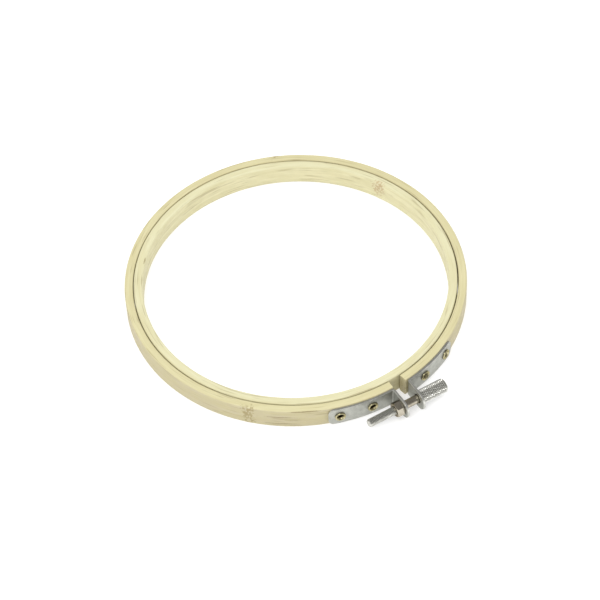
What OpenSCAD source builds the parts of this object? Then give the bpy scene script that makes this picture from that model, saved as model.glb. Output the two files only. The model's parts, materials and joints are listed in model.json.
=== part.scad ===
// Two-ring bamboo embroidery hoop with a screw clamp.
// The outer ring is split at the front (-Y). A folded steel bracket is riveted to each end with
// two brass eyelets, and a thumb screw with a hex nut draws the two bracket ears together.
// Z is the axis of both rings, z = 0 is the underside, and the clamp stands on the -Y side.

/* [Rings] */
// Outside radius of the outer ring
outer_r = 75; // [60:0.5:100]
// Thickness of the outer ring, measured along a radius
outer_t = 3.7; // [3:0.1:5]
// Thickness of the inner ring, measured along a radius
inner_t = 3.8; // [3:0.1:5]
// Radial room between the two rings, taken up by the cloth
cloth_gap = 0.4; // [0.3:0.05:0.8]
// Height of both rings
ring_h = 10.2; // [9.8:0.1:12]
// Rounding on the edges of both rings
edge_r = 0.7; // [0.4:0.1:1]

/* [Split] */
// Width of the split at the inside of the outer ring
split_in = 5.8; // [5:0.1:6.4]
// Width of the split at the outside of the outer ring
split_out = 6.4; // [6:0.1:7.2]

/* [Brackets] */
// Thickness of the steel strip
strip_t = 1; // [0.8:0.1:1.2]
// Width of the steel strip
strip_w = 9; // [8:0.1:9.2]
// Inside radius of the fold
fold_r = 0.6; // [0.4:0.1:1]
// Angle from the middle of the split to the end of a leg
leg_end = 25.3; // [24.5:0.1:28]
// Corner radius at the end of a leg
corner_r = 2.5; // [1:0.1:4]
// Corner radius at the end of an ear
tip_r = 3.8; // [1:0.1:4]
// Distance between the facing sides of the two ears
ear_gap = 7; // [6.8:0.1:7.6]
// How far the ears reach past the screw's axis
ear_reach = 4.9; // [4:0.1:5.2]
// Distance from the outer ring's wall to the screw's axis
screw_out = 7.6; // [7:0.1:9]
// Angle by which the ears and the screw lean off square
lean = 4; // [3:0.5:5]

/* [Eyelets] */
// Angle from the middle of the split to the eyelet near the fold
eyelet_near = 10.5; // [9:0.1:12]
// Angle from the middle of the split to the eyelet near the end of the leg
eyelet_far = 21.5; // [19:0.1:22]
// Outside radius of the barrel
barrel_r = 1.45; // [1.2:0.05:1.6]
// Radius of the hole through the eyelet
eyelet_bore_r = 1.05; // [0.8:0.05:1.1]
// Radius of the rolled flange
flange_r = 2.35; // [1.9:0.05:2.6]
// Height of the rolled flange over the bracket
flange_h = 0.85; // [0.5:0.05:1]

/* [Screw] */
// Outside diameter of the shank and its thread
thread_d = 3.7; // [3.4:0.1:3.8]
// Thread pitch
pitch = 0.6; // [0.5:0.05:0.8]
// Distance from the middle of the clamp to the screw's tip
tip_x = 21; // [20:0.1:24]
// Distance from the middle of the clamp to the inner end of the thread
thread_end_x = 3; // [1:0.1:3.5]
// Diameter of the knurled head
head_d = 6.4; // [5.5:0.1:7]
// Length of the knurled head
head_l = 12.8; // [8:0.1:14]
// Hex nut, across flats
nut_af = 6.2; // [5.8:0.1:6.5]
// Thickness of the hex nut
nut_t = 3.5; // [2.8:0.1:3.6]
// Angle of the nut about the screw
nut_turn = 15; // [-30:1:30]

/* [Hidden] */
$fn = 96;

left = -1;
right = 1;
mid_z = ring_h / 2;
outer_wall_in = outer_r - outer_t;          // inside radius of the outer ring
inner_wall_out = outer_wall_in - cloth_gap; // outside radius of the inner ring
window_r = inner_wall_out - inner_t;        // radius of the open window
saw_kerf = 0.1;                             // slit at the back, where the ring flexes
seat = 0.05;                                // room between a bracket and the ring's wall
leg_r = outer_r + seat;                     // inside radius of a bracket leg
strip_z = mid_z - strip_w / 2;
screw_y = -(outer_r + screw_out);
barrel_room = 0.05;                         // room round an eyelet's barrel
clinch_r = 2;                               // radius of an eyelet's clinched inner end
clinch_t = 0.5;                             // thickness of that clinched end
clinch_in = 0.08;                           // how far it lies below the ring's inner wall
running_room = 0.05;                        // room between the thread and the nut
ear_hole_r = thread_d / 2 + 0.4;            // clearance holes in the ears
thread_depth = 0.6 * pitch;
almost = 0.97;                              // a corner's cut ends just before it runs out flush
bamboo = [0.93, 0.88, 0.68];
steel = [0.72, 0.73, 0.73];
brass = [0.72, 0.65, 0.38];
nickel = [0.66, 0.64, 0.61];

// A rectangle with round corners, from corner [0, 0].
module soft_square(size, r) {
    translate([r, 0]) square([size.x - 2 * r, size.y]);
    translate([0, r]) square([size.x, size.y - 2 * r]);
    for (x = [r, size.x - r], y = [r, size.y - r])
        translate([x, y]) circle(r);
}

// A ring or an arc of soft-edged strip between two angles.
module bent_strip(r_in, t, from, sweep) {
    rotate(from)
        rotate_extrude(angle = sweep, $fn = 240)
            translate([r_in, 0]) soft_square([t, ring_h], edge_r);
}

// Puts things that are drawn along +X from the ring's axis at an angle from the split.
module at_ring(side, angle) {
    rotate(side * angle - 90)
        translate([0, 0, mid_z])
            rotate([0, 90, 0])
                children();
}

// Puts things that are drawn about the X axis on the screw's axis.
module at_screw() {
    translate([0, screw_y, mid_z])
        rotate(-lean)
            children();
}

module inner_ring() {
    color(bamboo)
        bent_strip(window_r, inner_t, 0, 360);
}

// One half of the outer ring, from the split round to the slit at the back.
module outer_half(side) {
    color(bamboo)
        difference() {
            bent_strip(outer_wall_in, outer_t, side == right ? -90 : 90, 180);
            translate([-saw_kerf / 2, 0, -1])
                cube([saw_kerf, outer_r + 1, ring_h + 2]);
            translate([0, 0, -1])
                linear_extrude(ring_h + 2)
                    polygon([
                        [-split_in / 2, 0], [split_in / 2, 0],
                        [split_in / 2, -outer_wall_in],
                        [split_out / 2, -outer_r], [split_out / 2, -outer_r - 1],
                        [-split_out / 2, -outer_r - 1], [-split_out / 2, -outer_r],
                        [-split_in / 2, -outer_wall_in]
                    ]);
            for (angle = [eyelet_near, eyelet_far])
                at_ring(side, angle) {
                    cylinder(h = outer_r + 1, r = barrel_r + barrel_room);
                    cylinder(h = outer_wall_in + clinch_in + clinch_t + barrel_room,
                             r = clinch_r + barrel_room);
                }
        }
}

module outer_ring_left() { outer_half(left); }

module outer_ring_right() { outer_half(right); }

// The centre of a fold is as far from the ring's wall as it is from the facing side of the ear.
fold_out = fold_r + strip_t;
function fold_across(side) = side * (ear_gap / 2 + fold_out) - screw_y * sin(lean);
function fold_along(side) = sqrt((leg_r + fold_out) ^ 2 - fold_across(side) ^ 2);
function fold_centre(side) = [
    fold_across(side) * cos(lean) - fold_along(side) * sin(lean),
    -fold_across(side) * sin(lean) - fold_along(side) * cos(lean)
];

// Points of an arc, leaving out the first.
function arc(centre, r, from, to, steps) = [
    for (i = [1 : steps])
        let (angle = from + (to - from) * i / steps)
            centre + r * [cos(angle), sin(angle)]
];

// The strip seen from above: a leg along the ring, the fold, and the ear as far as its tip.
function strip_outline(side) =
    let (
        c = fold_centre(side),
        leg_from = side * leg_end - 90,
        leg_to = atan2(c.y, c.x),
        to_ring = leg_to + 180,
        to_gap = side == right ? 180 - lean : -lean,
        turn_to_gap = to_gap + 360 * round((to_ring - to_gap) / 360),
        across = [cos(lean), -sin(lean)],
        tip = [0, screw_y] - ear_reach * [sin(lean), cos(lean)]
    )
    concat(
        arc([0, 0], leg_r + strip_t, leg_from, leg_to, 18),
        arc(c, fold_r, to_ring, turn_to_gap, 8),
        [tip + side * (ear_gap / 2 + strip_t) * across, tip + side * ear_gap / 2 * across],
        [c + fold_out * [cos(to_gap), sin(to_gap)]],
        arc(c, fold_out, turn_to_gap, to_ring, 8),
        arc([0, 0], leg_r, leg_to, leg_from, 18),
        [(leg_r + strip_t) * [cos(leg_from), sin(leg_from)]]
    );

// Rounds both corners of a strip that runs along -Y and ends at y = 0, lying across Z.
module end_corners(r, depth) {
    cut = almost * r;
    for (up = [0, 1])
        mirror([0, 0, up])
            difference() {
                translate([0, -1, strip_w / 2 - cut]) cube([depth, cut + 1, cut + 1]);
                translate([-1, r, strip_w / 2 - r])
                    rotate([0, 90, 0]) cylinder(h = depth + 2, r = r);
            }
}

module bracket(side) {
    color(steel)
        difference() {
            translate([0, 0, strip_z]) linear_extrude(strip_w) polygon(strip_outline(side));
            rotate(side * leg_end)
                translate([0, -leg_r + 1, mid_z])
                    rotate(side == right ? 90 : -90)
                        translate([side == right ? -4 : 0, 0, 0])
                            end_corners(corner_r, 4);
            at_screw()
                translate([side * (ear_gap / 2 + strip_t / 2) - 1.5, -ear_reach, 0])
                    end_corners(tip_r, 3);
            for (angle = [eyelet_near, eyelet_far])
                at_ring(side, angle)
                    cylinder(h = outer_r + 3, r = barrel_r + barrel_room);
            at_screw()
                translate([side * ear_gap / 2, 0, 0])
                    rotate([0, side * 90, 0])
                        translate([0, 0, -1]) cylinder(h = strip_t + 2, r = ear_hole_r);
        }
}

module left_bracket() { bracket(left); }

module right_bracket() { bracket(right); }

// A tubular rivet: a barrel, a rolled flange outside and a clinched end inside the ring.
module eyelet(side, angle) {
    flange_z = leg_r + strip_t + 0.02;
    inner_end = outer_wall_in + clinch_in;
    roll_r = flange_h / 2;
    color(brass)
        at_ring(side, angle)
            rotate_extrude() {
                translate([eyelet_bore_r, inner_end])
                    square([barrel_r - eyelet_bore_r, flange_z + flange_h / 2 - inner_end]);
                translate([eyelet_bore_r, inner_end])
                    square([clinch_r - eyelet_bore_r, clinch_t]);
                translate([eyelet_bore_r + roll_r, flange_z])
                    square([flange_r - eyelet_bore_r - 2 * roll_r, flange_h]);
                for (x = [eyelet_bore_r + roll_r, flange_r - roll_r])
                    translate([x, flange_z + roll_r]) circle(roll_r);
            }
}

module left_near_eyelet() { eyelet(left, eyelet_near); }

module left_far_eyelet() { eyelet(left, eyelet_far); }

module right_near_eyelet() { eyelet(right, eyelet_near); }

module right_far_eyelet() { eyelet(right, eyelet_far); }

// The screw points from its knurled head at +X to its tip at -X.
module thumb_screw() {
    r = thread_d / 2;
    head_r = head_d / 2;
    tip_chamfer = 0.5;
    head_chamfer = 0.5;
    head_x = ear_gap / 2 + strip_t + 0.05;
    head_end = head_x + head_l;
    turns = floor((tip_x - tip_chamfer - thread_end_x) / pitch);
    thread = [
        for (i = [0 : turns - 1])
            let (x = -thread_end_x - i * pitch)
                each [[r, x], [r - thread_depth, x - pitch / 2]]
    ];
    outline = concat(
        [[0, head_end], [head_r - head_chamfer, head_end], [head_r, head_end - head_chamfer],
         [head_r, head_x + head_chamfer], [head_r - head_chamfer, head_x], [r, head_x]],
        thread,
        [[r, -thread_end_x - turns * pitch], [r - tip_chamfer, -tip_x], [0, -tip_x]]
    );
    color(nickel)
        at_screw()
            rotate([0, 90, 0])
                rotate_extrude() polygon(outline);
}

// The nut bears on the outer side of the left ear.
module hex_nut() {
    corner_r_nut = nut_af / sqrt(3);
    chamfer_r = nut_af / 2 + 0.1;
    chamfer = 0.35;
    color(nickel)
        at_screw()
            translate([-ear_gap / 2 - strip_t - 0.05, 0, 0])
                rotate([nut_turn, 0, 0])
                    rotate([0, -90, 0])
                        difference() {
                            intersection() {
                                rotate(30) cylinder(h = nut_t, r = corner_r_nut, $fn = 6);
                                rotate_extrude()
                                    polygon([
                                        [0, 0], [chamfer_r, 0], [chamfer_r + 2 * chamfer, chamfer],
                                        [chamfer_r + 2 * chamfer, nut_t - chamfer],
                                        [chamfer_r, nut_t], [0, nut_t]
                                    ]);
                            }
                            translate([0, 0, -1])
                                cylinder(h = nut_t + 2, r = thread_d / 2 + running_room);
                        }
}

inner_ring();
outer_ring_left();
outer_ring_right();
left_bracket();
right_bracket();
left_near_eyelet();
left_far_eyelet();
right_near_eyelet();
right_far_eyelet();
thumb_screw();
hex_nut();
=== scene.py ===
# Looks of the bamboo embroidery hoop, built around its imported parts.
# Shapes are made in millimetres and brought to metres when each piece is finished.
import json
import math

import bmesh
import bpy
from mathutils import Matrix, Vector, noise


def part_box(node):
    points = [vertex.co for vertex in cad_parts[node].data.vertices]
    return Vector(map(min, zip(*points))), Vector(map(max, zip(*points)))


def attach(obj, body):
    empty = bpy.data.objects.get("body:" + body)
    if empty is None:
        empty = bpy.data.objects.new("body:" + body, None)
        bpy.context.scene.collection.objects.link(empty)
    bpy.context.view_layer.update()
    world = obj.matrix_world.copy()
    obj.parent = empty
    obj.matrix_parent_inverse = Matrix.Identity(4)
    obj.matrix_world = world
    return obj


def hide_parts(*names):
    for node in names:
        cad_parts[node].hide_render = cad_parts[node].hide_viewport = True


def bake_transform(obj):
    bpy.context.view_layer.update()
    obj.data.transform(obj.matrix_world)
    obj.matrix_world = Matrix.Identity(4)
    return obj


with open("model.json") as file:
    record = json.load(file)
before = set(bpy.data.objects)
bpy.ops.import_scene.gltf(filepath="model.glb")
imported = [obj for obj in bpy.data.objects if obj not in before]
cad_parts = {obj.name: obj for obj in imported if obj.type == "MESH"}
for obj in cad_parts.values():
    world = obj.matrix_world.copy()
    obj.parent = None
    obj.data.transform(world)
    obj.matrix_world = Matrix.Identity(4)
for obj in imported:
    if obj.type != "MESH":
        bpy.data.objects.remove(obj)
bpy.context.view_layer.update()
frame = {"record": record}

mm = 0.001
left = -1
right = 1
fullTurn = 2 * math.pi


def boxOf(node):
    low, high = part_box(node)
    return low / mm, high / mm


record = frame["record"]
joints = {joint["name"]: joint for joint in record["behaviour"]["joints"]}
mounts = {mount["name"]: mount for mount in record["mounts"]}
outerR = -boxOf("outer_ring_left")[0].x
ringH = boxOf("inner_ring")[1].z
innerWallOut = boxOf("inner_ring")[1].x
windowR = mounts["window"]["dims"]["r_mm"]
midZ = ringH / 2
gapR = innerWallOut + 0.2    # middle of the gap between the rings
screwAt = Vector(joints["screw_turn"]["pos_m"]) / mm
screwAxis = Vector(joints["screw_turn"]["axis"]).normalized()
lean = math.atan2(-screwAxis.y, screwAxis.x)
screwFrame = Matrix((screwAxis, Vector((0, 0, 1)).cross(screwAxis), (0, 0, 1))).transposed().to_4x4()
screwFrame.translation = screwAt


def makeNode(tree, kind, settings=None, sockets=None):
    made = tree.nodes.new(kind)
    for name, value in (settings or {}).items():
        setattr(made, name, value)
    for name, value in (sockets or {}).items():
        if isinstance(value, bpy.types.NodeSocket):
            tree.links.new(value, made.inputs[name])
        else:
            made.inputs[name].default_value = value
    return made


def maths(tree, operation, first, second=0.0):
    return makeNode(tree, "ShaderNodeMath", {"operation": operation}, {0: first, 1: second}).outputs[0]


def weigh(tree, value, weight):
    return maths(tree, "MULTIPLY", value, weight)


def vectorMaths(tree, operation, first, second=(0, 0, 0), output="Vector"):
    made = makeNode(tree, "ShaderNodeVectorMath", {"operation": operation}, {0: first, 1: second})
    return made.outputs[output]


def ramp(tree, value, fromLow, fromHigh, toLow=0.0, toHigh=1.0):
    sockets = {"Value": value, "From Min": fromLow, "From Max": fromHigh, "To Min": toLow, "To Max": toHigh}
    made = makeNode(tree, "ShaderNodeMapRange", {"interpolation_type": "SMOOTHSTEP"}, sockets)
    return made.outputs[0]


def tint(tree, factor, first, second):
    made = makeNode(tree, "ShaderNodeMix", {"data_type": "RGBA"})
    for name, value in (("Factor_Float", factor), ("A_Color", first), ("B_Color", second)):
        target = next(socket for socket in made.inputs if socket.identifier == name)
        if isinstance(value, bpy.types.NodeSocket):
            tree.links.new(value, target)
        else:
            target.default_value = value if name == "Factor_Float" else (*value, 1)
    return next(socket for socket in made.outputs if socket.identifier == "Result_Color")


def makeGroup(name, inputs, outputs):
    group = bpy.data.node_groups.new(name, "ShaderNodeTree")
    for socketName, kind, value in inputs:
        socket = group.interface.new_socket(name=socketName, in_out="INPUT", socket_type=kind)
        socket.default_value = value
    for socketName, kind in outputs:
        group.interface.new_socket(name=socketName, in_out="OUTPUT", socket_type=kind)
    return group, group.nodes.new("NodeGroupInput"), group.nodes.new("NodeGroupOutput")


def placeGroup(tree, group, sockets):
    return makeNode(tree, "ShaderNodeGroup", {"node_tree": group}, sockets)


def restPlace(tree):
    # where each point lies before the ring bends, so the grain stays with the wood
    return makeNode(tree, "ShaderNodeAttribute", {"attribute_name": "restPlace"}).outputs["Vector"]


def keepPlaces(piece):
    mesh = piece.data
    places = mesh.attributes.new("restPlace", "FLOAT_VECTOR", "POINT")
    for vert in mesh.vertices:
        places.data[vert.index].vector = vert.co


def newMaterial(name):
    material = bpy.data.materials.new(name)
    material.use_nodes = True
    tree = material.node_tree
    return material, tree, tree.nodes["Principled BSDF"]


def spin(bm, geom, axis, steps, angle=fullTurn, perStep=(0, 0, 0), merge=True):
    bmesh.ops.spin(bm, geom=geom, cent=(0, 0, 0), axis=axis, dvec=perStep, angle=angle,
                   steps=steps, use_merge=merge)


def closeSeams(bm, distance=0.002):
    bmesh.ops.remove_doubles(bm, verts=bm.verts, dist=distance)


def chain(bm, points):
    verts = [bm.verts.new(point) for point in points]
    return [bm.edges.new(pair) for pair in zip(verts, verts[1:])]


def turned(bm, outline, steps):
    # spins an outline of (along, radius) points about X
    edges = chain(bm, [(along, 0, radius) for along, radius in outline])
    verts = list({vert for edge in edges for vert in edge.verts})
    spin(bm, verts + edges, (1, 0, 0), steps)


def finishPiece(name, bm, material, nodes, sharp=32):
    bmesh.ops.recalc_face_normals(bm, faces=bm.faces)
    bmesh.ops.scale(bm, vec=(mm, mm, mm), verts=bm.verts)
    mesh = bpy.data.meshes.new(name)
    bm.to_mesh(mesh)
    bm.free()
    mesh.materials.append(material)
    for polygon in mesh.polygons:
        polygon.use_smooth = True
    mesh.set_sharp_from_angle(angle=math.radians(sharp))
    piece = bpy.data.objects.new(name, mesh)
    bpy.context.scene.collection.objects.link(piece)
    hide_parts(*nodes)
    print("made", name, "with", len(mesh.polygons), "faces")
    return piece


def buildRingGrain():
    # fibres run round the ring, so the pattern is read in polar terms, and it closes on itself
    group, given, out = makeGroup(
        "ring grain",
        [("Stretch", "NodeSocketFloat", 7.0), ("Fineness", "NodeSocketFloat", 2600.0),
         ("Offset", "NodeSocketFloat", 0.0)],
        [("Fibre", "NodeSocketFloat"), ("Band", "NodeSocketFloat"), ("Vein", "NodeSocketFloat"),
         ("Blotch", "NodeSocketFloat")],
    )
    place = restPlace(group)
    split = makeNode(group, "ShaderNodeSeparateXYZ", None, {0: place})
    flat = vectorMaths(group, "MULTIPLY", place, (1, 1, 0))
    reach = vectorMaths(group, "LENGTH", flat, output="Value")
    heading = vectorMaths(group, "NORMALIZE", flat)
    headingSplit = makeNode(group, "ShaderNodeSeparateXYZ", None, {0: heading})

    def streaks(stretch, fineness, detail, shift):
        along = [maths(group, "MULTIPLY", headingSplit.outputs[axis], stretch) for axis in (0, 1)]
        height = maths(group, "MULTIPLY", split.outputs[2], fineness)
        start = maths(group, "ADD", given.outputs["Offset"], shift)
        depth = maths(group, "ADD", maths(group, "MULTIPLY", reach, fineness), start)
        where = makeNode(group, "ShaderNodeCombineXYZ", None, {0: along[0], 1: along[1], 2: height})
        sockets = {"Vector": where.outputs[0], "W": depth, "Scale": 1.0, "Detail": detail}
        return makeNode(group, "ShaderNodeTexNoise", {"noise_dimensions": "4D"}, sockets).outputs[0]

    stretch = given.outputs["Stretch"]
    fineness = given.outputs["Fineness"]
    fibre = streaks(stretch, fineness, 3.0, 0.0)
    band = streaks(weigh(group, stretch, 0.5), weigh(group, fineness, 0.2), 2.0, 11.0)
    vein = streaks(weigh(group, stretch, 0.8), weigh(group, fineness, 0.6), 1.0, 23.0)
    blotch = streaks(weigh(group, stretch, 2.5), weigh(group, fineness, 0.12), 2.0, 37.0)
    group.links.new(ramp(group, fibre, 0.3, 0.7), out.inputs["Fibre"])
    group.links.new(ramp(group, band, 0.3, 0.7), out.inputs["Band"])
    group.links.new(ramp(group, vein, 0.58, 0.72), out.inputs["Vein"])
    group.links.new(ramp(group, blotch, 0.32, 0.68), out.inputs["Blotch"])
    return group


def buildMark():
    # a soft-edged patch about a point: Along runs round the ring, the half sizes are in metres
    group, given, out = makeGroup(
        "ring mark",
        [("Centre", "NodeSocketVector", (0, 0, 0)), ("Along", "NodeSocketVector", (1, 0, 0)),
         ("Half Length", "NodeSocketFloat", 0.002), ("Half Height", "NodeSocketFloat", 0.0005),
         ("Half Depth", "NodeSocketFloat", 0.002), ("Ragged", "NodeSocketFloat", 0.5)],
        [("Mask", "NodeSocketFloat")],
    )
    place = restPlace(group)
    away = vectorMaths(group, "SUBTRACT", place, given.outputs["Centre"])
    along = given.outputs["Along"]
    across = vectorMaths(group, "CROSS_PRODUCT", along, (0, 0, 1))
    spans = (
        maths(group, "DIVIDE", vectorMaths(group, "DOT_PRODUCT", away, along, "Value"),
              given.outputs["Half Length"]),
        maths(group, "DIVIDE", vectorMaths(group, "DOT_PRODUCT", away, across, "Value"),
              given.outputs["Half Depth"]),
        maths(group, "DIVIDE", vectorMaths(group, "DOT_PRODUCT", away, (0, 0, 1), "Value"),
              given.outputs["Half Height"]),
    )
    scaled = makeNode(group, "ShaderNodeCombineXYZ", None, dict(enumerate(spans)))
    distance = vectorMaths(group, "LENGTH", scaled.outputs[0], output="Value")
    rough = makeNode(group, "ShaderNodeTexNoise", None, {"Vector": place, "Scale": 900.0, "Detail": 3.0})
    ragged = weigh(group, ramp(group, rough.outputs[0], 0.3, 0.7, -1.0, 1.0), given.outputs["Ragged"])
    edge = maths(group, "ADD", distance, ragged)
    group.links.new(ramp(group, edge, 0.55, 1.1, 1.0, 0.0), out.inputs["Mask"])
    return group


def buildPlating():
    # the mottle, fine lines and dents of plated metal
    group, given, out = makeGroup(
        "plating",
        [("Vector", "NodeSocketVector", (0, 0, 0)), ("Lines", "NodeSocketVector", (1, 1, 1)),
         ("Mottle Scale", "NodeSocketFloat", 400.0)],
        [("Mottle", "NodeSocketFloat"), ("Scratch", "NodeSocketFloat"), ("Speck", "NodeSocketFloat")],
    )
    place = given.outputs["Vector"]
    mottle = makeNode(group, "ShaderNodeTexNoise", None,
                      {"Vector": place, "Scale": given.outputs["Mottle Scale"], "Detail": 4.0})
    drawn = vectorMaths(group, "MULTIPLY", place, given.outputs["Lines"])
    scratch = makeNode(group, "ShaderNodeTexNoise", None, {"Vector": drawn, "Scale": 1.0, "Detail": 2.0})
    speck = makeNode(group, "ShaderNodeTexNoise", None,
                     {"Vector": place, "Scale": maths(group, "MULTIPLY", given.outputs["Mottle Scale"], 4.0)})
    group.links.new(ramp(group, mottle.outputs[0], 0.3, 0.7), out.inputs["Mottle"])
    group.links.new(ramp(group, scratch.outputs[0], 0.3, 0.7), out.inputs["Scratch"])
    group.links.new(ramp(group, speck.outputs[0], 0.6, 0.72), out.inputs["Speck"])
    return group


ringGrain = buildRingGrain()
ringMark = buildMark()
plating = buildPlating()


outerBambooLook = {
    "pale": (0.565, 0.525, 0.315),
    "straw": (0.45, 0.40, 0.20),
    # side-wall colour, darker than the top
    "wall": (0.475, 0.42, 0.285),
    "vein": (0.22, 0.17, 0.08),
    "node": (0.31, 0.25, 0.11),
    "bleached": (0.66, 0.62, 0.46),
    "fibreDepth": 0.00005,
    "offset": 3.0,
}
innerBambooLook = {
    "pale": (0.60, 0.58, 0.385),
    "straw": (0.50, 0.455, 0.245),
    # side-wall colour: painted light, lighter than the top as though the walls were lit from the front
    "wall": (0.69, 0.65, 0.42),
    "vein": (0.26, 0.21, 0.10),
    "node": (0.44, 0.33, 0.18),
    "bleached": (0.68, 0.64, 0.46),
    "fibreDepth": 0.00005,
    "offset": 41.0,
}
grainWeights = {
    "blotch": 0.35,
    "band": 0.42,
    "fibre": 0.40,
    "vein": 0.42,
    # strength of the painted shade on the walls beside the gap between the rings
    "gapShade": 0.25,
    "bleach": 0.22,
    "dots": 0.9,
    "streak": 0.8,
}


def markAt(tree, radius, angle, height, half, ragged):
    turn = math.radians(angle)
    centre = Vector((radius * math.cos(turn), radius * math.sin(turn), height)) * mm
    sockets = {
        "Centre": centre, "Along": (-math.sin(turn), math.cos(turn), 0),
        "Half Length": half[0] * mm, "Half Height": half[1] * mm, "Half Depth": half[2] * mm,
        "Ragged": ragged,
    }
    return placeGroup(tree, ringMark, sockets).outputs["Mask"]


def bamboo(name, look, nodes, streakMarks):
    material, tree, shader = newMaterial(name)
    grain = placeGroup(tree, ringGrain, {"Offset": look["offset"]})
    fibre, band = grain.outputs["Fibre"], grain.outputs["Band"]
    vein, blotch = grain.outputs["Vein"], grain.outputs["Blotch"]
    upward = makeNode(tree, "ShaderNodeSeparateXYZ", None,
                      {0: makeNode(tree, "ShaderNodeNewGeometry").outputs["Normal"]}).outputs[2]
    wall = ramp(tree, maths(tree, "ABSOLUTE", upward), 0.2, 0.8, 1.0, 0.0)
    # the side walls take the wall colour: on the outer ring it is darker than the top, on the inner ring it
    # is painted light, lighter than the top
    wallToneAndLight = tint(tree, weigh(tree, blotch, grainWeights["blotch"]), look["wall"], look["pale"])
    colour = tint(tree, wall, look["pale"], wallToneAndLight)
    colour = tint(tree, weigh(tree, band, grainWeights["band"]), colour, look["straw"])
    colour = tint(tree, weigh(tree, fibre, grainWeights["fibre"]), colour, look["straw"])
    colour = tint(tree, weigh(tree, vein, grainWeights["vein"]), colour, look["vein"])
    place = restPlace(tree)
    # painted shade: the walls facing the gap between the rings are darkened towards the vein colour, standing
    # in for the shadow inside the gap
    reach = vectorMaths(tree, "LENGTH", vectorMaths(tree, "MULTIPLY", place, (1, 1, 0)), output="Value")
    offGap = maths(tree, "ABSOLUTE", maths(tree, "SUBTRACT", reach, gapR * mm))
    gapShade = weigh(tree, wall, ramp(tree, offGap, 0.4 * mm, 0.8 * mm, grainWeights["gapShade"], 0.0))
    colour = tint(tree, gapShade, colour, look["vein"])
    height = fibre
    for patch in nodes:
        mask = markAt(tree, *patch)
        spots = makeNode(tree, "ShaderNodeTexVoronoi", {"feature": "F1"}, {"Vector": place, "Scale": 900.0})
        dotted = maths(tree, "MULTIPLY", mask, ramp(tree, spots.outputs["Distance"], 0.15, 0.6))
        colour = tint(tree, weigh(tree, mask, grainWeights["bleach"]), colour, look["bleached"])
        colour = tint(tree, weigh(tree, dotted, grainWeights["dots"]), colour, look["node"])
        height = maths(tree, "ADD", height, weigh(tree, dotted, -1.5))
    for patch in streakMarks:
        mask = markAt(tree, *patch)
        colour = tint(tree, weigh(tree, mask, grainWeights["streak"]), colour, look["vein"])
        height = maths(tree, "ADD", height, weigh(tree, mask, -1.0))
    tree.links.new(colour, shader.inputs["Base Color"])
    tree.links.new(ramp(tree, blotch, 0.0, 1.0, 0.46, 0.62), shader.inputs["Roughness"])
    bump = makeNode(tree, "ShaderNodeBump", None,
                    {"Height": height, "Distance": look["fibreDepth"], "Strength": 0.6})
    tree.links.new(bump.outputs[0], shader.inputs["Normal"])
    shader.inputs["Specular IOR Level"].default_value = 0.35
    return material


def plated(name, look, coordinates, rim=False):
    material, tree, shader = newMaterial(name)
    source = makeNode(tree, "ShaderNodeTexCoord").outputs[coordinates]
    coat = placeGroup(tree, plating,
                      {"Vector": source, "Lines": look["lines"], "Mottle Scale": look["mottleScale"]})
    mottle, scratch = coat.outputs["Mottle"], coat.outputs["Scratch"]
    colour = tint(tree, mottle, look["bright"], look["dull"])
    colour = tint(tree, weigh(tree, coat.outputs["Speck"], 0.35), colour, look["speck"])
    wear = maths(tree, "ADD", weigh(tree, mottle, 0.6), weigh(tree, scratch, 0.4))
    rough = ramp(tree, wear, 0.1, 0.9, look["smooth"], look["matt"])
    if "paintedBoreShade" in look:
        # painted shade: darkens the brass near and inside the ring's outer face, where the eyelet's funnel
        # and bore fall into shadow
        flat = vectorMaths(tree, "MULTIPLY", source, (1, 1, 0))
        reach = vectorMaths(tree, "LENGTH", flat, output="Value")
        boreShadeMask = ramp(tree, reach, (outerR + look["darkTo"]) * mm, (outerR + look["shadeFadesFrom"]) * mm, 0.92, 0.0)
        colour = tint(tree, boreShadeMask, colour, look["paintedBoreShade"])
    if "groove" in look:
        # painted shade: darkens the knurl's grooves and the thread's roots, found by distance from the
        # screw's axis, in place of the shadow that falls in them
        away = vectorMaths(tree, "SUBTRACT", source, screwAt * mm)
        along = vectorMaths(tree, "DOT_PRODUCT", away, screwAxis, "Value")
        across = vectorMaths(tree, "CROSS_PRODUCT", away, screwAxis)
        reach = vectorMaths(tree, "LENGTH", across, output="Value")
        grooveFloor = ramp(tree, along, -mm, mm, look["threadRoot"] * mm, look["knurlRoot"] * mm)
        offFloor = maths(tree, "ABSOLUTE", maths(tree, "SUBTRACT", reach, grooveFloor))
        grooveShade = ramp(tree, offFloor, 0.01 * mm, 0.09 * mm, 0.7, 0.0)
        colour = tint(tree, grooveShade, colour, look["groove"])
    if rim:
        # the sheared edges are painted lighter and smoother: partly wear, partly a painted highlight where
        # the edges catch the light
        rimWearAndSheen = makeNode(tree, "ShaderNodeAttribute", {"attribute_name": "rim"}).outputs["Fac"]
        rimWearAndSheen = weigh(tree, rimWearAndSheen, ramp(tree, mottle, 0.0, 1.0, 0.9, 0.4))
        colour = tint(tree, rimWearAndSheen, colour, look["rimWearAndSheen"])
        rough = maths(tree, "SUBTRACT", rough, weigh(tree, rimWearAndSheen, 0.12))
    tree.links.new(colour, shader.inputs["Base Color"])
    tree.links.new(rough, shader.inputs["Roughness"])
    shader.inputs["Metallic"].default_value = 1.0
    shader.inputs["Specular Tint"].default_value = (*look["grazing"], 1)
    height = maths(tree, "ADD", scratch, mottle)
    bump = makeNode(tree, "ShaderNodeBump", None,
                    {"Height": height, "Distance": look["depth"], "Strength": 0.5})
    tree.links.new(bump.outputs[0], shader.inputs["Normal"])
    return material


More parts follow.
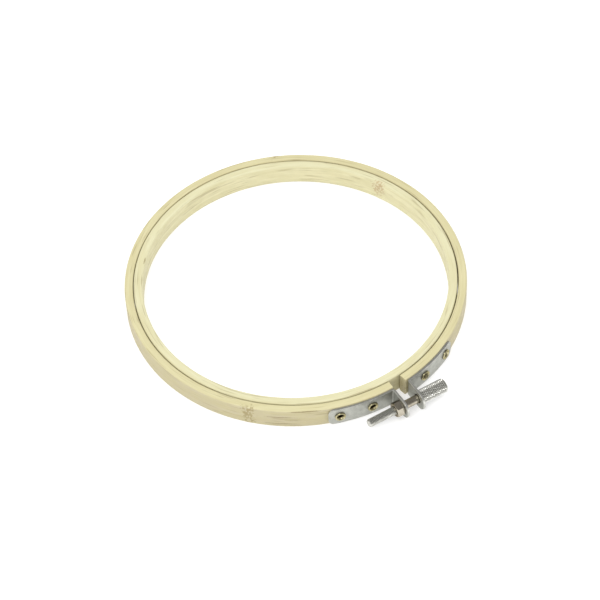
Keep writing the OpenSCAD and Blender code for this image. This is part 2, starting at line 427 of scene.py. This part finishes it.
zincLook = {
    "bright": (0.49, 0.495, 0.45), "dull": (0.42, 0.425, 0.385), "speck": (0.33, 0.33, 0.30),
    # the lighter edge colour is partly wear and partly painted highlight
    "rimWearAndSheen": (0.72, 0.715, 0.67), "smooth": 0.42, "matt": 0.56, "lines": (4.0, 120.0, 1.0),
    "mottleScale": 3.0, "depth": 0.000012, "grazing": (0.8, 0.8, 0.8),
}
brassLook = {
    "bright": (0.62, 0.57, 0.36), "dull": (0.44, 0.40, 0.23), "speck": (0.20, 0.17, 0.10),
    "smooth": 0.2, "matt": 0.36, "lines": (1500.0, 1500.0, 1500.0), "mottleScale": 700.0,
    # the last colour is the painted shade deep in the eyelets' funnel and bore
    "depth": 0.000008, "grazing": (0.6, 0.55, 0.4), "paintedBoreShade": (0.10, 0.075, 0.035),
    "darkTo": 0.7, "shadeFadesFrom": 1.5,
}
nickelLook = {
    "bright": (0.52, 0.48, 0.39), "dull": (0.40, 0.36, 0.285), "speck": (0.22, 0.19, 0.14),
    "smooth": 0.12, "matt": 0.22, "lines": (5000.0, 600.0, 600.0), "mottleScale": 350.0,
    "depth": 0.000002, "grazing": (0.35, 0.33, 0.3),
}

cutNickelLook = {
    "bright": (0.80, 0.80, 0.75), "dull": (0.64, 0.64, 0.595), "speck": (0.36, 0.35, 0.31),
    # groove is the colour of the painted shade in the knurl's grooves and the thread's roots
    "groove": (0.16, 0.15, 0.125), "threadRoot": 1.55, "knurlRoot": 2.93,
    "smooth": 0.26, "matt": 0.38, "lines": (600.0, 3000.0, 3000.0), "mottleScale": 500.0,
    "depth": 0.000004, "grazing": (0.45, 0.44, 0.42),
}

clampAngle = -90
outerBamboo = bamboo(
    "outer bamboo", outerBambooLook,
    nodes=[(outerR, -141.2, 6, (3.0, 6, 2.4), 0.55), (outerR, 62, midZ, (2.2, 9, 2.4), 0.55)],
    streakMarks=[(outerR, -130.8, 6.2, (7.2, 0.26, 1.2), 0.15), (outerR, -130.4, 2.0, (8.2, 0.26, 1.2), 0.15),
                 (outerR, -122.5, 9.8, (8.0, 0.3, 1.0), 0.15), (outerR, -127, 4.2, (4.0, 0.18, 1.2), 0.2)],
)
innerBamboo = bamboo(
    "inner bamboo", innerBambooLook,
    nodes=[(windowR, 20, midZ + 2.2, (3.2, 3.6, 2.0), 0.6), (innerWallOut, -70, midZ, (1.8, 7, 1.0), 0.55)],
    streakMarks=[(windowR + 0.6, 134.4, 10.0, (2.3, 0.9, 0.35), 0.2)],
)
zinc = plated("zinc steel", zincLook, "UV", rim=True)
brass = plated("eyelet brass", brassLook, "Object")
nickel = plated("nickel plate", nickelLook, "Object")
cutNickel = plated("cut nickel plate", cutNickelLook, "Object")
print("finishes are ready")


ringLook = {
    "edgeR": 0.7,
    "steps": 360,
    "wander": 0.06,      # how far a wall strays from a true circle
    "endSoft": 0.22,     # rounding of the split's ends
    "splitIn": 5.8,
    "splitOut": 6.4,
    "outerT": 3.7,
    "snug": 0.2,         # how far the inner ring presses out where it is tightest
    "snugAngle": 118,
}


def ringSection(bm, wallIn, wallOut, height):
    # the squared strip with soft corners, standing on +X
    corners = [(wallIn, 0, 0), (wallOut, 0, 0), (wallOut, 0, height), (wallIn, 0, height)]
    verts = [bm.verts.new(corner) for corner in corners]
    bm.faces.new(verts)
    bmesh.ops.bevel(bm, geom=verts, offset=ringLook["edgeR"], affect="VERTICES", segments=5,
                    profile=0.5, material=-1)
    longEdges = [edge for edge in bm.edges if edge.calc_length() > 1.5]
    bmesh.ops.subdivide_edges(bm, edges=longEdges, cuts=3)
    bmesh.ops.delete(bm, geom=bm.faces[:], context="FACES_ONLY")
    return bm.verts[:] + bm.edges[:]


def weatherRing(bm, wallIn, wallOut, seed, nodeAngles, snug=0.0):
    for vert in bm.verts:
        angle = math.atan2(vert.co.y, vert.co.x)
        radius = vert.co.xy.length
        outward = (radius - wallIn) / (wallOut - wallIn)
        up = vert.co.z / ringH
        round3 = Vector((math.cos(angle), math.sin(angle), 0)) * 3
        sway = noise.noise(round3 + Vector((0, 0, seed + outward)))
        ripple = noise.noise(round3 * 4 + Vector((0, 0, seed + 7 + 2 * outward + up)))
        press = max(0.0, math.cos(angle - math.radians(ringLook["snugAngle"]))) ** 2
        shift = ringLook["wander"] * (0.7 * sway + 0.4 * ripple) + snug * press * outward
        for nodeAngle in nodeAngles:
            across = radius * math.sin(angle - math.radians(nodeAngle))
            if math.cos(angle - math.radians(nodeAngle)) > 0:
                swell = math.exp(-(across / 1.6) ** 2) - 0.8 * math.exp(-((across - 1.9) / 0.5) ** 2)
                shift += 0.07 * swell * (1 if outward > 0.5 else -1)
        vert.co.xy *= (radius + shift) / radius
        lift = 0.05 * noise.noise(round3 * 2 + Vector((0, 0, seed + 19)))
        vert.co.z += lift * up * up


def makeInnerRing():
    bm = bmesh.new()
    geom = ringSection(bm, windowR, innerWallOut, ringH)
    spin(bm, geom, (0, 0, 1), ringLook["steps"])
    closeSeams(bm)
    weatherRing(bm, windowR, innerWallOut, 2.0, [20, -70], ringLook["snug"])
    piece = finishPiece("innerRing", bm, innerBamboo, ["inner_ring"])
    keepPlaces(piece)
    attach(piece, "inner_ring")


def splitHalfAngle(radius):
    wallIn = outerR - ringLook["outerT"]
    share = (radius - wallIn) / ringLook["outerT"]
    halfWidth = ringLook["splitIn"] / 2 + share * (ringLook["splitOut"] - ringLook["splitIn"]) / 2
    return math.asin(halfWidth / radius)


def makeOuterRing():
    wallIn = outerR - ringLook["outerT"]
    bm = bmesh.new()
    geom = ringSection(bm, wallIn, outerR, ringH)
    halfGap = splitHalfAngle((wallIn + outerR) / 2)
    start = math.radians(clampAngle) + halfGap
    bmesh.ops.rotate(bm, cent=(0, 0, 0), matrix=Matrix.Rotation(start, 3, "Z"), verts=bm.verts)
    sweep = fullTurn - 2 * halfGap
    spin(bm, geom, (0, 0, 1), ringLook["steps"], angle=sweep, merge=False)
    for vert in bm.verts:  # slants the two end faces, fading to nothing at the back
        radius = vert.co.xy.length
        turn = (math.atan2(vert.co.y, vert.co.x) - math.radians(clampAngle)) % fullTurn
        share = (turn - halfGap) / sweep
        slant = (splitHalfAngle(radius) - halfGap) * (1 - 2 * share)
        vert.co = Matrix.Rotation(slant, 3, "Z") @ vert.co
    rims = [edge for edge in bm.edges if edge.is_boundary]
    bmesh.ops.holes_fill(bm, edges=rims, sides=0)
    bmesh.ops.recalc_face_normals(bm, faces=bm.faces)
    bmesh.ops.bevel(bm, geom=rims, offset=ringLook["endSoft"], affect="EDGES", segments=3,
                    profile=0.5, material=-1)
    weatherRing(bm, wallIn, outerR, 5.0, [-141.2, 62])
    piece = finishPiece("outerRing", bm, outerBamboo,
                        ["outer_ring_left", "outer_ring_right"])
    boreForEyelets(piece)
    keepPlaces(piece)
    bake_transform(piece)


def radialFrame(side, angle):
    # X points straight out from the rings' axis through the middle of the band
    turn = math.radians(side * angle + clampAngle)
    return Matrix.Translation((0, 0, midZ)) @ Matrix.Rotation(turn, 4, "Z")


eyeletLook = {
    "near": 10.5,
    "far": 21.5,
    "barrelR": 1.45,
    "boreR": 1.05,
    "flangeR": 2.35,
    "room": 0.05,
    "clinchR": 2.0,
    "steps": 48,
}
sides = {left: "left", right: "right"}


def boreForEyelets(piece):
    look = eyeletLook
    bm = bmesh.new()
    wallIn = outerR - ringLook["outerT"]
    hole = look["barrelR"] + look["room"]
    sink = look["clinchR"] + look["room"]
    for side in sides:
        for angle in (look["near"], look["far"]):
            cutter = bmesh.new()
            turned(cutter, [(wallIn - 2, 0), (wallIn - 2, sink), (wallIn + 0.63, sink), (wallIn + 0.63, hole),
                            (outerR + 2, hole), (outerR + 2, 0)], 40)
            closeSeams(cutter)
            bmesh.ops.recalc_face_normals(cutter, faces=cutter.faces)
            cutter.transform(radialFrame(side, angle))
            bmesh.ops.scale(cutter, vec=(mm, mm, mm), verts=cutter.verts)
            held = bpy.data.meshes.new("bore")
            cutter.to_mesh(held)
            cutter.free()
            bm.from_mesh(held)
            bpy.data.meshes.remove(held)
    mesh = bpy.data.meshes.new("eyeletBores")
    bm.to_mesh(mesh)
    bm.free()
    drill = bpy.data.objects.new("eyeletBores", mesh)
    bpy.context.scene.collection.objects.link(drill)
    cut = piece.modifiers.new("bores", "BOOLEAN")
    cut.operation = "DIFFERENCE"
    cut.solver = "EXACT"
    cut.object = drill
    drilled = bpy.data.meshes.new_from_object(piece.evaluated_get(bpy.context.evaluated_depsgraph_get()))
    piece.modifiers.clear()
    piece.data = drilled
    bpy.data.objects.remove(drill)
    print("drilled", piece.name, "now", len(drilled.polygons), "faces")


def makeEyelet(side, angle, place):
    look = eyeletLook
    seat = outerR + 1.07       # just over the bracket's leg
    clinch = outerR - ringLook["outerT"] + 0.09
    bore = look["boreR"]
    barrel = look["barrelR"]
    outline = [
        (clinch + 0.45, bore), (clinch + 0.12, bore + 0.12), (clinch, bore + 0.5),
        (clinch + 0.12, look["clinchR"] - 0.06), (clinch + 0.36, look["clinchR"]),
        (clinch + 0.48, barrel + 0.1), (clinch + 0.6, barrel), (seat - 0.12, barrel),
        (seat, barrel + 0.1), (seat + 0.03, look["flangeR"] - 0.12), (seat + 0.16, look["flangeR"]),
        (seat + 0.48, look["flangeR"] - 0.06), (seat + 0.72, look["flangeR"] - 0.22),
        (seat + 0.8, look["flangeR"] - 0.4), (seat + 0.7, look["flangeR"] - 0.58),
        (seat + 0.38, bore + 0.42), (seat, bore + 0.2), (seat - 0.35, bore + 0.06), (seat - 0.8, bore),
    ]
    bm = bmesh.new()
    edges = chain(bm, [(along, 0, radius) for along, radius in outline])
    bm.verts.ensure_lookup_table()
    edges.append(bm.edges.new((bm.verts[len(outline) - 1], bm.verts[0])))
    bmesh.ops.bevel(bm, geom=bm.verts[:], offset=0.05, affect="VERTICES", segments=2,
                    profile=0.5, material=-1)
    spin(bm, bm.verts[:] + bm.edges[:], (1, 0, 0), look["steps"])
    closeSeams(bm)
    bm.transform(radialFrame(side, angle))
    word = sides[side]
    piece = finishPiece(word + place.capitalize() + "Eyelet", bm, brass,
                        [word + "_" + place + "_eyelet"], sharp=60)
    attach(piece, word + "_half")


bracketLook = {
    "thickness": 1.0,
    "width": 9.0,
    "seat": 0.05,        # room between the leg and the ring's wall
    "foldR": 0.6,
    "legEnd": 25.3,
    "cornerR": 2.5,
    "tipR": 3.8,
    "earGap": 7.0,
    "earReach": 4.9,
    "earHoleR": 2.25,
    "rim": 0.16,         # rounding of the sheared edges
}


class BracketBend:
    # the strip's path from the end of the leg, round the fold and down the ear
    def __init__(self, side):
        look = bracketLook
        self.side = side
        self.legR = outerR + look["seat"]
        self.foldOut = look["foldR"] + look["thickness"]
        across = side * (look["earGap"] / 2 + self.foldOut) - screwAt.y * math.sin(lean)
        along = math.sqrt((self.legR + self.foldOut) ** 2 - across ** 2)
        self.centre = Vector((across * math.cos(lean) - along * math.sin(lean),
                              -across * math.sin(lean) - along * math.cos(lean)))
        self.legFrom = math.radians(side * look["legEnd"] + clampAngle)
        legTo = math.atan2(self.centre.y, self.centre.x)
        self.way = 1 if legTo > self.legFrom else -1
        self.legLength = self.legR * abs(legTo - self.legFrom)
        self.toRing = legTo + math.pi
        toGap = math.pi - lean if side == right else -lean
        self.toGap = toGap + fullTurn * round((self.toRing - toGap) / fullTurn)
        self.foldLength = self.foldOut * abs(self.toGap - self.toRing)
        self.outward = Vector((-math.sin(lean), -math.cos(lean)))
        gapWay = Vector((math.cos(self.toGap), math.sin(self.toGap)))
        self.earStart = self.centre + self.foldOut * gapWay
        fromStart = screwAt.xy - self.earStart
        self.holeAt = self.legLength + self.foldLength + fromStart.dot(self.outward)
        self.length = self.holeAt + look["earReach"]

    def bend(self, point):
        along, height, depth = point
        if along <= self.legLength:
            turn = self.legFrom + self.way * along / self.legR
            place = (self.legR + depth) * Vector((math.cos(turn), math.sin(turn)))
        elif along < self.legLength + self.foldLength:
            share = (along - self.legLength) / self.foldLength
            turn = self.toRing + (self.toGap - self.toRing) * share
            place = self.centre + (self.foldOut - depth) * Vector((math.cos(turn), math.sin(turn)))
        else:
            turn = self.toGap
            place = self.centre + (self.foldOut - depth) * Vector((math.cos(turn), math.sin(turn)))
            place = place + self.outward * (along - self.legLength - self.foldLength)
        return Vector((place.x, place.y, height))


def makeBracket(side):
    look = bracketLook
    path = BracketBend(side)
    foot = midZ - look["width"] / 2
    top = midZ + look["width"] / 2
    bm = bmesh.new()
    rimLayer = bm.verts.layers.float.new("rim")
    stripMap = bm.loops.layers.uv.new("strip")
    corners = [(0, foot, 0), (path.length, foot, 0), (path.length, top, 0), (0, top, 0)]
    verts = [bm.verts.new(corner) for corner in corners]
    bm.faces.new(verts)
    bmesh.ops.bevel(bm, geom=[verts[0], verts[3]], offset=look["cornerR"], affect="VERTICES", segments=9,
                    profile=0.5, material=-1)
    tips = [vert for vert in bm.verts if vert.co.x > path.length - 0.01]
    bmesh.ops.bevel(bm, geom=tips, offset=look["tipR"], affect="VERTICES", segments=10,
                    profile=0.5, material=-1)
    bmesh.ops.delete(bm, geom=bm.faces[:], context="FACES_ONLY")
    holes = [(path.legR * math.radians(look["legEnd"] - angle), eyeletLook["barrelR"] + 0.06, 28)
             for angle in (eyeletLook["near"], eyeletLook["far"])]
    holes.append((path.holeAt, look["earHoleR"], 36))
    for along, radius, segments in holes:
        bmesh.ops.create_circle(bm, cap_ends=False, radius=radius, segments=segments,
                                matrix=Matrix.Translation((along, midZ, 0)))
    bmesh.ops.triangle_fill(bm, use_beauty=True, use_dissolve=False, edges=bm.edges[:])
    sheet = bm.faces[:]
    bmesh.ops.recalc_face_normals(bm, faces=sheet)
    raised = bmesh.ops.extrude_face_region(bm, geom=sheet, use_keep_orig=True)
    lifted = [item for item in raised["geom"] if isinstance(item, bmesh.types.BMVert)]
    bmesh.ops.translate(bm, vec=(0, 0, look["thickness"]), verts=lifted)
    bmesh.ops.recalc_face_normals(bm, faces=bm.faces)
    rims = [edge for edge in bm.edges if len(edge.link_faces) == 2 and edge.calc_face_angle() > 1.2]
    soft = bmesh.ops.bevel(bm, geom=rims, offset=look["rim"], affect="EDGES", segments=3,
                           profile=0.5, material=-1)
    for vert in soft["verts"]:
        onSheet = min(abs(vert.co.z), abs(vert.co.z - look["thickness"])) < 0.002
        vert[rimLayer] = 0.0 if onSheet else 1.0
    cuts = [1.5 * step for step in range(1, int(path.legLength / 1.5))]
    cuts += [path.legLength + path.foldLength * step / 12 for step in range(13)]
    for cut in cuts:
        bmesh.ops.bisect_plane(bm, geom=bm.verts[:] + bm.edges[:] + bm.faces[:], dist=0.0005,
                               plane_co=(cut, 0, 0), plane_no=(1, 0, 0))
    for face in bm.faces:
        for loop in face.loops:
            loop[stripMap].uv = (loop.vert.co.x / 10, loop.vert.co.y / 10)
    for vert in bm.verts:
        vert.co = path.bend(vert.co)
    word = sides[side]
    piece = finishPiece(word + "Bracket", bm, zinc, [word + "_bracket"], sharp=40)
    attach(piece, word + "_half")


screwLook = {
    "shankR": 1.85,
    "pitch": 0.6,
    "rootR": 1.55,
    "threadEnd": -3.0,
    "tip": -21.0,
    "tipChamfer": 0.5,
    "headFrom": 4.55,
    "headLength": 12.8,
    "headR": 3.2,
    "grooveR": 2.93,
    "diamondsRound": 22,
    "diamondLength": 1.25,
    "flat": 0.16,        # size of the worn flats on the knurl's diamonds
    "threadSteps": 30,
}


def cutThread(bm):
    look = screwLook
    pitch = look["pitch"]
    root = look["rootR"]
    crest = look["shankR"]
    begin = look["threadEnd"] + 2 * pitch
    turns = int((begin - look["tip"]) / pitch) + 3
    outline = [(0, root), (0.14, root), (0.4, crest), (0.74, crest), (1, root)]
    edges = chain(bm, [(begin - along * pitch, 0, radius) for along, radius in outline])
    verts = list({vert for edge in edges for vert in edge.verts})
    spin(bm, verts + edges, (-1, 0, 0), look["threadSteps"] * turns, angle=fullTurn * turns,
         perStep=(-pitch / look["threadSteps"], 0, 0), merge=False)
    closeSeams(bm, 0.005)
    for at, way in ((look["tip"], -1), (look["threadEnd"] + pitch, 1)):
        bmesh.ops.bisect_plane(bm, geom=bm.verts[:] + bm.edges[:] + bm.faces[:], dist=0.001,
                               plane_co=(at, 0, 0), plane_no=(way, 0, 0), clear_outer=True)
        rim = [edge for edge in bm.edges
               if edge.is_boundary and all(abs(vert.co.x - at) < 0.002 for vert in edge.verts)]
        bmesh.ops.contextual_create(bm, geom=rim)
    for vert in bm.verts:
        radius = vert.co.yz.length
        limit = look["shankR"] - look["tipChamfer"] + (vert.co.x - look["tip"])
        if vert.co.x > look["threadEnd"] - 0.5 * pitch:
            limit = root
        if radius > limit:
            vert.co.yz *= limit / radius


def knurlHead(bm):
    look = screwLook
    groove = look["grooveR"]
    chamfer = 0.5
    begin = look["headFrom"] + chamfer
    end = look["headFrom"] + look["headLength"] - chamfer
    rows = round((end - begin) / look["diamondLength"])
    head = bmesh.new()
    chain(head, [(begin + (end - begin) * row / rows, 0, groove) for row in range(rows + 1)])
    spin(head, head.verts[:] + head.edges[:], (1, 0, 0), look["diamondsRound"])
    closeSeams(head)
    gridEdges = [edge for edge in head.edges if len(edge.link_faces) == 2]
    bmesh.ops.poke(head, faces=head.faces[:])
    for vert in head.verts:
        vert.co.yz *= groove / vert.co.yz.length
    bmesh.ops.dissolve_edges(head, edges=gridEdges, use_verts=False)
    raised = bmesh.ops.poke(head, faces=head.faces[:])
    for vert in raised["verts"]:
        vert.co.yz *= (look["headR"] + 0.1) / vert.co.yz.length
    bmesh.ops.bevel(head, geom=raised["verts"], offset=look["flat"], affect="VERTICES", segments=1,
                    profile=0.5, material=-1)
    for vert in head.verts:
        radius = vert.co.yz.length
        if radius > look["headR"]:
            vert.co.yz *= look["headR"] / radius
    for at, way in ((begin, -1), (end, 1)):
        rim = [edge for edge in head.edges if edge.is_boundary and abs(edge.verts[0].co.x - at) < 0.01]
        rimSteps = ((0.12, groove), (0.30, groove - 0.22), (0.08, groove - 0.36), (0, groove - 1.0))
        for shift, radius in rimSteps:
            grown = bmesh.ops.extrude_edge_only(head, edges=rim)["geom"]
            rim = [item for item in grown if isinstance(item, bmesh.types.BMEdge)]
            for vert in {vert for edge in rim for vert in edge.verts}:
                vert.co.x += way * shift
                vert.co.yz *= radius / vert.co.yz.length
        bmesh.ops.contextual_create(head, geom=rim)
    held = bpy.data.meshes.new("head")
    head.to_mesh(held)
    head.free()
    bm.from_mesh(held)
    bpy.data.meshes.remove(held)


def makeThumbScrew():
    look = screwLook
    bm = bmesh.new()
    cutThread(bm)
    knurlHead(bm)
    shank = look["shankR"] - 0.02
    shoulder = look["headFrom"] + 0.3
    turned(bm, [(shoulder, 0), (shoulder, shank), (look["threadEnd"] + 0.02, shank),
                (look["threadEnd"] - 0.3, look["rootR"] - 0.02), (look["threadEnd"] - 0.3, 0)], 64)
    closeSeams(bm)
    for face in bm.faces:
        middle = face.calc_center_median().x
        if middle < look["threadEnd"] or middle > look["headFrom"]:
            face.material_index = 1
    bm.transform(screwFrame)
    piece = finishPiece("thumbScrew", bm, nickel, ["thumb_screw"], sharp=25)
    piece.data.materials.append(cutNickel)
    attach(piece, "screw")


nutLook = {
    "acrossFlats": 6.2,
    "thickness": 3.5,
    "faceAt": -4.55,
    "turn": 15.0,
    "boreR": 1.9,
    "sinkR": 2.2,
    "dome": 0.35,
    "segments": 72,
}


def makeNut():
    look = nutLook
    half = look["acrossFlats"] / 2
    crown = half - 0.12
    depth = look["thickness"]

    def hexRadius(angle):
        flat = math.radians(60)
        offset = (angle + flat / 2) % flat - flat / 2
        return half / math.cos(offset)

    def sideAt(angle, inset):
        radius = hexRadius(angle)
        return inset + look["dome"] * max(0, radius - crown) / (half / math.cos(math.pi / 6) - crown), radius

    loops = [
        lambda angle: (0.02, crown),
        lambda angle: sideAt(angle, 0.02),
        lambda angle: (sideAt(angle, 0.12)[0], hexRadius(angle)),
        lambda angle: (depth - sideAt(angle, 0.12)[0], hexRadius(angle)),
        lambda angle: (depth - sideAt(angle, 0.02)[0], hexRadius(angle)),
        lambda angle: (depth, crown),
        lambda angle: (depth, look["sinkR"]),
        lambda angle: (depth - 0.35, look["boreR"]),
        lambda angle: (0.35, look["boreR"]),
        lambda angle: (0.0, look["sinkR"]),
    ]
    bm = bmesh.new()
    rings = []
    for shape in loops:
        made = bmesh.ops.create_circle(bm, cap_ends=False, radius=1, segments=look["segments"])
        for vert in made["verts"]:
            angle = math.atan2(vert.co.y, vert.co.x)
            along, radius = shape(angle)
            vert.co = (-along, radius * math.sin(angle), radius * math.cos(angle))
        rings.append({edge for vert in made["verts"] for edge in vert.link_edges})
    for first, second in zip(rings, rings[1:] + rings[:1]):
        bmesh.ops.bridge_loops(bm, edges=list(first | second))
    bm.transform(screwFrame @ Matrix.Translation((look["faceAt"], 0, 0))
                 @ Matrix.Rotation(math.radians(look["turn"]), 4, "X"))
    piece = finishPiece("hexNut", bm, nickel, ["hex_nut"], sharp=28)
    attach(piece, "nut")


makeInnerRing()
makeOuterRing()
for side in sides:
    makeBracket(side)
    makeEyelet(side, eyeletLook["near"], "near")
    makeEyelet(side, eyeletLook["far"], "far")
makeThumbScrew()
makeNut()


stageLook = {
    "floorSize": 6.0,
    "floorColour": (0.62, 0.62, 0.62),
    "floorGlow": 0.42,
    "horizon": 0.6,
    "zenith": 1.55,
    "ceiling": 0.28,
    "windowAt": (-0.78, 0.3, 0.55),
    "windowGlow": 1.4,
    "lowBand": 0.7,
    "keyAt": (-0.9, -0.5, 1.5),
    "keyPower": 9.0,
    "keySize": 0.9,
}
cameraLook = {
    "lens": 142.98,
    "azimuth": -33.8,
    "elevation": 49.2,
    "roll": 2.64,
    "aim": (0, 0, 10.25),
    "slide": (-2.0, 10.1),
    "distance": 1044,
}


def makeFloor():
    bm = bmesh.new()
    bmesh.ops.create_grid(bm, x_segments=1, y_segments=1, size=stageLook["floorSize"] / 2)
    bmesh.ops.translate(bm, vec=(0, 0, -0.00005), verts=bm.verts)
    mesh = bpy.data.meshes.new("floor")
    bm.to_mesh(mesh)
    bm.free()
    material, tree, shader = newMaterial("floor paper")
    shader.inputs["Base Color"].default_value = (*stageLook["floorColour"], 1)
    shader.inputs["Roughness"].default_value = 0.9
    shader.inputs["Emission Color"].default_value = (1, 1, 1, 1)
    shader.inputs["Emission Strength"].default_value = stageLook["floorGlow"]
    shader.inputs["Specular IOR Level"].default_value = 0.1
    mesh.materials.append(material)
    floor = bpy.data.objects.new("floor", mesh)
    bpy.context.scene.collection.objects.link(floor)


def makeSky():
    # an even dome for the wood, and for reflections a darker ceiling with one bright window
    world = bpy.data.worlds.new("studio")
    bpy.context.scene.world = world
    world.use_nodes = True
    tree = world.node_tree
    tree.nodes.clear()
    heading = makeNode(tree, "ShaderNodeTexCoord").outputs["Generated"]
    split = makeNode(tree, "ShaderNodeSeparateXYZ", None, {0: heading})
    low = ramp(tree, split.outputs[2], 0.2, 0.5, stageLook["lowBand"], stageLook["ceiling"])
    window = ramp(tree, vectorMaths(tree, "DOT_PRODUCT", heading, stageLook["windowAt"], "Value"),
                  0.86, 0.94, 0.0, stageLook["windowGlow"])
    strength = maths(tree, "MAXIMUM", low, window)
    dome = ramp(tree, split.outputs[2], -0.2, 1.0, stageLook["horizon"], stageLook["zenith"])
    even = makeNode(tree, "ShaderNodeBackground", None, {"Color": (1, 1, 1, 1), "Strength": dome})
    boxed = makeNode(tree, "ShaderNodeBackground", None, {"Color": (1, 0.99, 0.975, 1), "Strength": strength})
    shiny = makeNode(tree, "ShaderNodeLightPath").outputs["Is Glossy Ray"]
    mixed = makeNode(tree, "ShaderNodeMixShader", None, {0: shiny, 1: even.outputs[0], 2: boxed.outputs[0]})
    makeNode(tree, "ShaderNodeOutputWorld", None, {0: mixed.outputs[0]})


def addSoftbox(name, place, power, size):
    data = bpy.data.lights.new(name, "AREA")
    data.energy = power
    data.size = size
    lamp = bpy.data.objects.new(name, data)
    lamp.location = place
    lamp.rotation_euler = (-Vector(place)).to_track_quat("-Z", "Y").to_euler()
    bpy.context.scene.collection.objects.link(lamp)


def makeCamera():
    look = cameraLook
    azimuth = math.radians(-look["azimuth"])
    elevation = math.radians(look["elevation"])
    roll = math.radians(look["roll"])
    forward = Vector((math.cos(elevation) * math.sin(azimuth), math.cos(elevation) * math.cos(azimuth),
                      -math.sin(elevation)))
    level = Vector((math.cos(azimuth), -math.sin(azimuth), 0))
    upward = level.cross(forward)
    across = level * math.cos(roll) - upward * math.sin(roll)
    up = level * math.sin(roll) + upward * math.cos(roll)
    place = (Vector(look["aim"]) - look["slide"][0] * across - look["slide"][1] * up
             - look["distance"] * forward) * mm
    data = bpy.data.cameras.new("camera")
    data.lens = look["lens"]
    data.sensor_width = 36
    data.clip_start = 0.05
    data.clip_end = 20
    camera = bpy.data.objects.new("camera", data)
    turn = Matrix((across, up, -forward)).transposed().to_4x4()
    camera.matrix_world = Matrix.Translation(place) @ turn
    bpy.context.scene.collection.objects.link(camera)
    bpy.context.scene.camera = camera


makeFloor()
makeSky()
addSoftbox("keyLight", stageLook["keyAt"], stageLook["keyPower"], stageLook["keySize"])
makeCamera()
bpy.context.scene.view_settings.view_transform = "Standard"
print("stage is ready")
